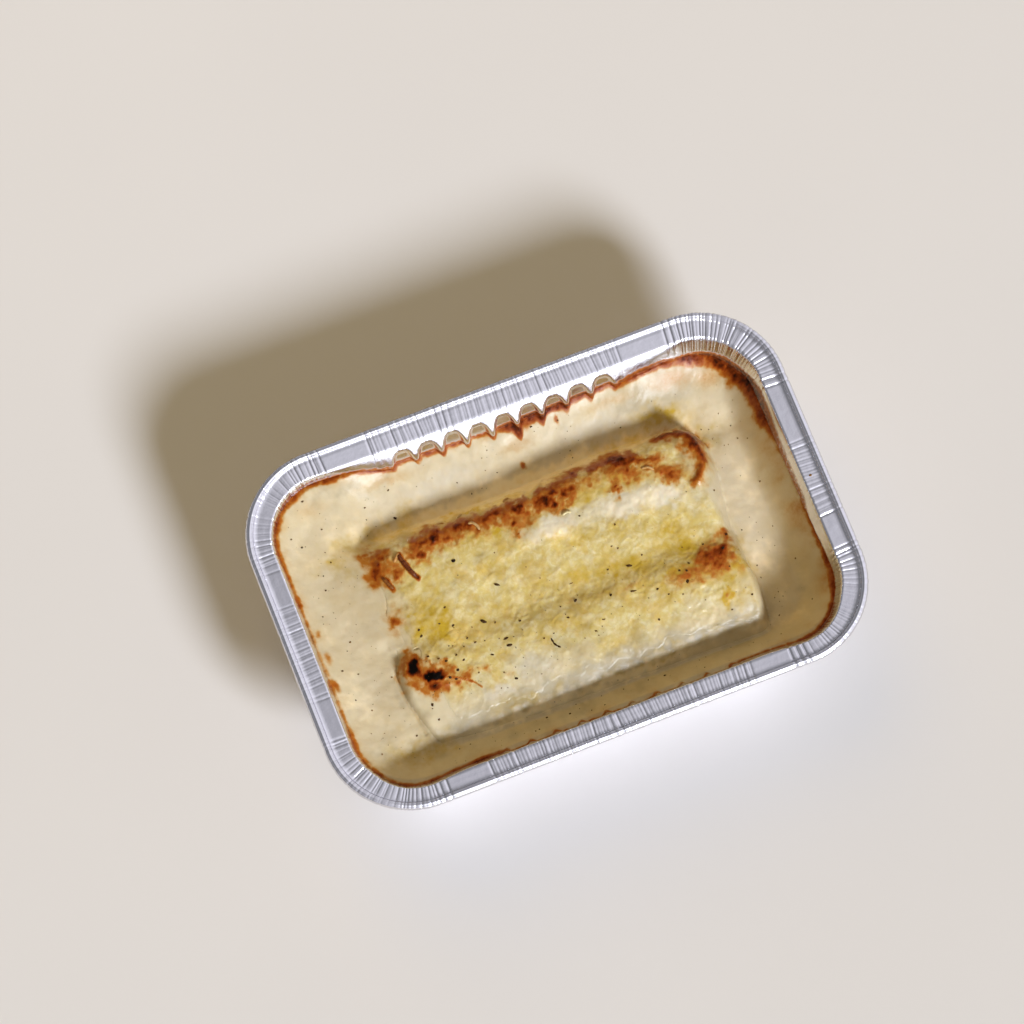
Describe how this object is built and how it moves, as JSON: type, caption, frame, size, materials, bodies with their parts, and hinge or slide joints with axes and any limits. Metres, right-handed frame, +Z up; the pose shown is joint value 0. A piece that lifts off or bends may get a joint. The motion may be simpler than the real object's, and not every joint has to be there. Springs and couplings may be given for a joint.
{
  "type": "foil tray meal",
  "caption": "Filled rolls side by side in cream sauce under browned melted cheese, in a rounded rectangular foil tray with a crimped rim.",
  "frame": {"origin": "middle of the tray's base, on the surface that it stands on", "axes": "+X along the tray's long side, +Y towards the long side beside the browned crest, +Z up"},
  "size_m": [0.2058, 0.1378, 0.0412],
  "materials": {
    "foil": "crimped foil, half bright",
    "cream_sauce": "cream sauce, wet and thick",
    "roll_surface": "cooked dough, moist",
    "melted_cheese": "melted grated cheese, browned in spots"
  },
  "bodies": {
    "root": {"tray": "foil", "sauce": "cream_sauce", "roll_far": "roll_surface", "roll_near": "roll_surface", "cheese": "melted_cheese"}
  },
  "joints": []
}
